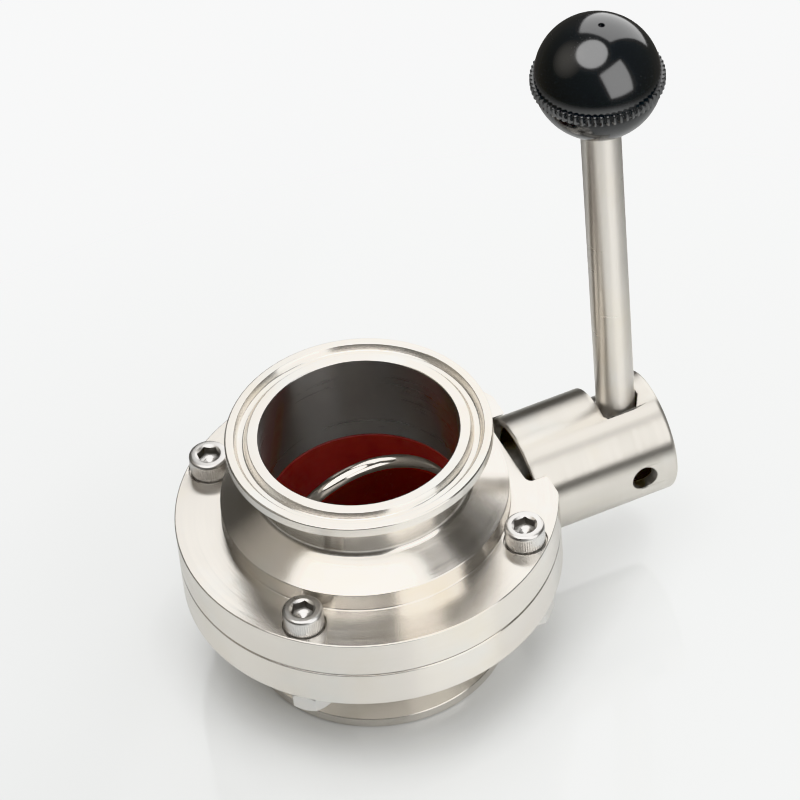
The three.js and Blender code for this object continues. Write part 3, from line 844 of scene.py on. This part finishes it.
def ball_knob():
    """Two half balls of slightly different size with a toothed band between them, hollow for the insert."""
    band_low, band_high = KNOB_BAND_Z
    foot_z = knob_foot_z() - KNOB_Z
    hollow_r, hollow_top = INSERT_R + GAP, INSERT_TOP_Z + GAP - KNOB_Z
    groove_r = KNOB_UPPER_R + 0.1

    def shape(r, z, angle):
        if r < groove_r or not band_low - 0.01 < z < band_high + 0.01:
            return r
        return r - (r - groove_r) * (0.5 - 0.5 * math.cos(KNOB_TEETH * angle)) ** 1.3

    def lower(z):
        return math.degrees(math.asin(z / KNOB_LOWER_R))

    top_start = math.degrees(math.asin(band_high / KNOB_UPPER_R))
    band = [(KNOB_LOWER_R - 0.05, band_low), (KNOB_BAND_R - 0.18, band_low + 0.05),
            (KNOB_BAND_R, band_low + 0.35), (KNOB_BAND_R, band_high - 0.4), (KNOB_BAND_R - 0.1, band_high - 0.12),
            (KNOB_BAND_R - 0.3, band_high), (groove_r, band_high)]
    outline = [(0, hollow_top), (hollow_r, hollow_top), (hollow_r, foot_z + 0.5), (hollow_r + 0.15, foot_z),
               *arc(0, 0, KNOB_LOWER_R, lower(foot_z), lower(band_low), 28), *band,
               *arc(0, 0, KNOB_UPPER_R, top_start, 90, 40)[:-1], (0, KNOB_UPPER_R)]
    ball = lathe(outline, KNOB_TEETH * 6, shape)
    mark = moved(cylinder(GATE_MARK_R, KNOB_UPPER_R - GATE_MARK_DEPTH, KNOB_UPPER_R + 0.3, 32),
                 turned_by(GATE_MARK_TILT, "Y"), turned_by(GATE_MARK_AZIMUTH, "Z"))
    return moved(combine(ball, "DIFFERENCE", [mark]), shifted(ROD_X, 0, KNOB_Z))


def knob_insert():
    foot = knob_foot_z() + GAP
    inner = ROD_TIP_R + GAP
    return moved(lathe(rounded([(inner, foot, 0.3), (INSERT_R, foot, 0.3), (INSERT_R, INSERT_TOP_Z, 0.3),
                                (inner, INSERT_TOP_Z, 0.3)]), 96), shifted(ROD_X, 0, 0))


FIXED, TURNING = "valve_body", "handle"
mirrored = Matrix.Diagonal((1, 1, -1, 1))
# The bore wall and the gap between the pocket and the sleeve's end are coloured with painted shade.
body_finishes = [(BORE_SHADED_STEEL, in_bore), (RECESS_SHADE, in_pocket)]
put_in_place("upper_half", body_half(True), BODY_STEEL, FIXED, "body_steel", "upper_body", finishes=body_finishes)
put_in_place("lower_half", moved(body_half(False), mirrored), BODY_STEEL, FIXED, "body_steel", "lower_body",
             finishes=body_finishes)
put_in_place("seat", seat_ring(), SEAT_RED, FIXED, "seat_silicone", "seat_ring")
# The disc's faces take its painted shade.
put_in_place("valve_disc", disc_and_stems(), DISC_STEEL, TURNING, "disc_steel", "disc",
             finishes=[(DISC_FACE_SHADED_STEEL, on_disc_face)])
for side in ("drive_side", "far_side"):
    low, high = cad_box(side + "_bush")
    put_in_place(side + "_sleeve_bush", bush(low.x, high.x), BUSH_WHITE, FIXED, "bush_ptfe", side + "_bush")
    put_in_place(side + "_ring_seal", stem_seal(side + "_seal"), SEAT_RED, FIXED, "seal_rubber", side + "_seal")
for i, degrees in enumerate(SCREW_ANGLES, start=1):
    x, y = screw_place(degrees)
    length = FLANGE_T - HEAD_SINK - cad_box(f"cap_screw_{i}")[0].z
    screw = moved(cap_screw(length, SOCKET_TURNS[i - 1]), shifted(x, y, FLANGE_T - HEAD_SINK))
    # The socket walls take the painted shade of the recess steel.
    put_in_place(f"flange_screw_{i}", screw, SCREW_STEEL, FIXED, "screw_steel", f"cap_screw_{i}",
                 finishes=[(RECESS_SHADE, socket_walls(x, y, FLANGE_T - HEAD_SINK + HEAD_H))])
    nut = moved(hex_nut(), turned_by(degrees, "Z"), shifted(x, y, -FLANGE_T - GAP))
    put_in_place(f"flange_nut_{i}", nut, SCREW_STEEL, FIXED, "nut_steel", f"hex_nut_{i}")
put_in_place("drive_sleeve", hub_sleeve(), SLEEVE_STEEL, FIXED, "sleeve_steel", "hub_sleeve")
for i, degrees in enumerate(SET_SCREW_ANGLES, start=1):
    put_in_place(f"set_screw_{i}", set_screw(degrees), SCREW_STEEL, FIXED, "screw_steel", f"sleeve_set_screw_{i}")
# The lock screw's hole in the core takes painted shade.
put_in_place("turning_core", drive_core(), CORE_STEEL, TURNING, "core_steel", "drive_core",
             finishes=[(RECESS_SHADE, in_lock_hole)])
put_in_place("cross_pin", core_pin(), SCREW_STEEL, TURNING, "screw_steel", "core_pin")
put_in_place("lever_rod", handle_rod(), ROD_STEEL, TURNING, "rod_steel", "handle_rod")
# The lock screw is coloured wholly in painted shade, as it sits down in its hole.
put_in_place("lock_screw", rod_lock_screw(), RECESS_SHADE, TURNING, "screw_steel", "rod_lock_screw")
put_in_place("lever_knob", ball_knob(), KNOB_BLACK, TURNING, "knob_plastic", "ball_knob",
             finishes=[(KNOB_LOWER_BLACK, lambda middle, normal: middle.z < KNOB_Z + KNOB_BAND_Z[0])])
put_in_place("threaded_insert", knob_insert(), INSERT_BRASS, TURNING, "insert_brass", "knob_insert")


# ---------------------------------------------------------------- floor, light and camera
FLOOR_MIDDLE = (0.0, -0.10, 0)
FLOOR_FADE = (0.10, 0.36)  # distances from the middle at which the fading starts and ends
FLOOR_DROP = 0.00005


def make_floor():
    """A pale, slightly glossy sheet that fades out away from a point in front of the valve."""
    bm = bmesh.new()
    bmesh.ops.create_grid(bm, x_segments=1, y_segments=1, size=3)
    floor = bpy.data.objects.new("floor", mesh_of(bm))
    floor.location.z = -FLOOR_DROP
    bpy.context.scene.collection.objects.link(floor)
    n = Nodes("pale_table")
    n.link(n.blend(n.noise(n.place, 3, 2.0), (0.835, 0.85, 0.85), (0.855, 0.87, 0.87)), n.shader, "Base Color")
    n.shader.inputs["Roughness"].default_value = 0.09
    n.shader.inputs["Specular IOR Level"].default_value = 0.5
    distance = n.add("ShaderNodeVectorMath", operation="DISTANCE")
    n.link(n.place, distance, 0)
    distance.inputs[1].default_value = FLOOR_MIDDLE
    n.fade_out(n.spread(distance.outputs["Value"], *FLOOR_FADE, 0, 1, "SMOOTHSTEP"))
    floor.data.materials.append(n.material)


def add_light(name, azimuth, elevation, distance, size, radiance, shape="RECTANGLE", roll=0):
    """A soft area light aimed at the valve; azimuth is measured from +X towards +Y, radiance in W/(m2 sr)."""
    data = bpy.data.lights.new(name, "AREA")
    data.shape = shape
    data.size, data.size_y = size
    area = size[0] * size[1] * (math.pi / 4 if shape == "ELLIPSE" else 1)
    data.energy = radiance * math.pi * area
    light = bpy.data.objects.new(name, data)
    a, e = math.radians(azimuth), math.radians(elevation)
    toward = Vector((math.cos(a) * math.cos(e), math.sin(a) * math.cos(e), math.sin(e)))
    light.location = CROSSING + toward * distance
    light.rotation_euler = (toward.to_track_quat("Z", "Y").to_matrix() @ turned_by(roll, "Z").to_3x3()).to_euler()
    light.visible_camera = False
    bpy.context.scene.collection.objects.link(light)


def make_lights():
    add_light("overhead_round", -146, 80, 1.5, (1.40, 1.40), 3.6, shape="ELLIPSE")
    add_light("back_right", 42, 34, 0.6, (0.54, 0.74), 2.1, roll=-10)
    add_light("front_right", -67, 32, 0.45, (0.33, 0.39), 2.5)


FILL_WAY = Vector((-0.70, 0.27, 0.66)).normalized()  # where the room is less dark


def make_world():
    """A dim room with a soft glow on one side; the camera sees the same pale grey as the floor instead."""
    world = bpy.data.worlds.new("studio")
    bpy.context.scene.world = world
    world.use_nodes = True
    tree = world.node_tree

    def add(kind, **settings):
        node = tree.nodes.new(kind)
        for key, value in settings.items():
            setattr(node, key, value)
        return node

    toward = add("ShaderNodeVectorMath", operation="DOT_PRODUCT")
    tree.links.new(add("ShaderNodeTexCoord").outputs["Generated"], toward.inputs[0])
    toward.inputs[1].default_value = FILL_WAY
    glow = add("ShaderNodeMapRange")
    for socket, number in (("From Min", 0.85), ("From Max", 1.0), ("To Min", 0.075), ("To Max", 0.55)):
        glow.inputs[socket].default_value = number
    tree.links.new(toward.outputs["Value"], glow.inputs["Value"])
    room = tree.nodes["Background"]
    room.inputs["Color"].default_value = (1.0, 0.94, 0.84, 1)
    tree.links.new(glow.outputs["Result"], room.inputs["Strength"])
    seen = add("ShaderNodeBackground")
    seen.inputs["Color"].default_value = (0.995, 1.0, 1.0, 1)
    seen.inputs["Strength"].default_value = 1.5
    mix = add("ShaderNodeMixShader")
    tree.links.new(add("ShaderNodeLightPath").outputs["Is Camera Ray"], mix.inputs[0])
    tree.links.new(room.outputs[0], mix.inputs[1])
    tree.links.new(seen.outputs[0], mix.inputs[2])
    tree.links.new(mix.outputs[0], tree.nodes["World Output"].inputs["Surface"])


CAMERA_DISTANCE = 1.13824  # from the stem and bore crossing
CAMERA_AZIMUTH = -19.431  # degrees round the bore from -Y
CAMERA_ELEVATION = 46.256
CAMERA_PAN = -0.548
CAMERA_TILT = -1.566
CAMERA_ROLL = 6.301
CAMERA_SENSOR = 36
CAMERA_LENS = 211.41


def make_camera():
    data = bpy.data.cameras.new("camera")
    data.sensor_width, data.lens = CAMERA_SENSOR, CAMERA_LENS
    camera = bpy.data.objects.new("camera", data)
    facing = turned_by(CAMERA_AZIMUTH, "Z") @ turned_by(90 - CAMERA_ELEVATION, "X")
    aim = turned_by(CAMERA_PAN, "Y") @ turned_by(-CAMERA_TILT, "X") @ turned_by(-CAMERA_ROLL, "Z")
    place = Matrix.Translation(CROSSING + facing.to_3x3() @ Vector((0, 0, CAMERA_DISTANCE)))
    camera.matrix_world = place @ facing @ aim
    data.clip_start, data.clip_end = 0.05, 50
    bpy.context.scene.collection.objects.link(camera)
    bpy.context.scene.camera = camera


def set_tones():
    """A soft shoulder for the highlights; the curve undoes the darkening that the transform gives to the shadows."""
    settings = bpy.context.scene.view_settings
    settings.view_transform = "Khronos PBR Neutral"
    settings.use_curve_mapping = True
    mapping = settings.curve_mapping
    brightest, lift, toe = 4.0, 0.04, 0.016
    mapping.white_level = (brightest,) * 3
    mapping.use_clip = False
    curve = mapping.curves[3]
    curve.points[1].location = (1, brightest + lift)
    for value in (toe, lift, 1.0):
        curve.points.new(value / brightest, value + lift if value >= lift else 0.4 * math.sqrt(value))
    for point in curve.points:
        point.handle_type = "VECTOR"
    mapping.update()


make_floor()
make_lights()
make_world()
make_camera()
set_tones()
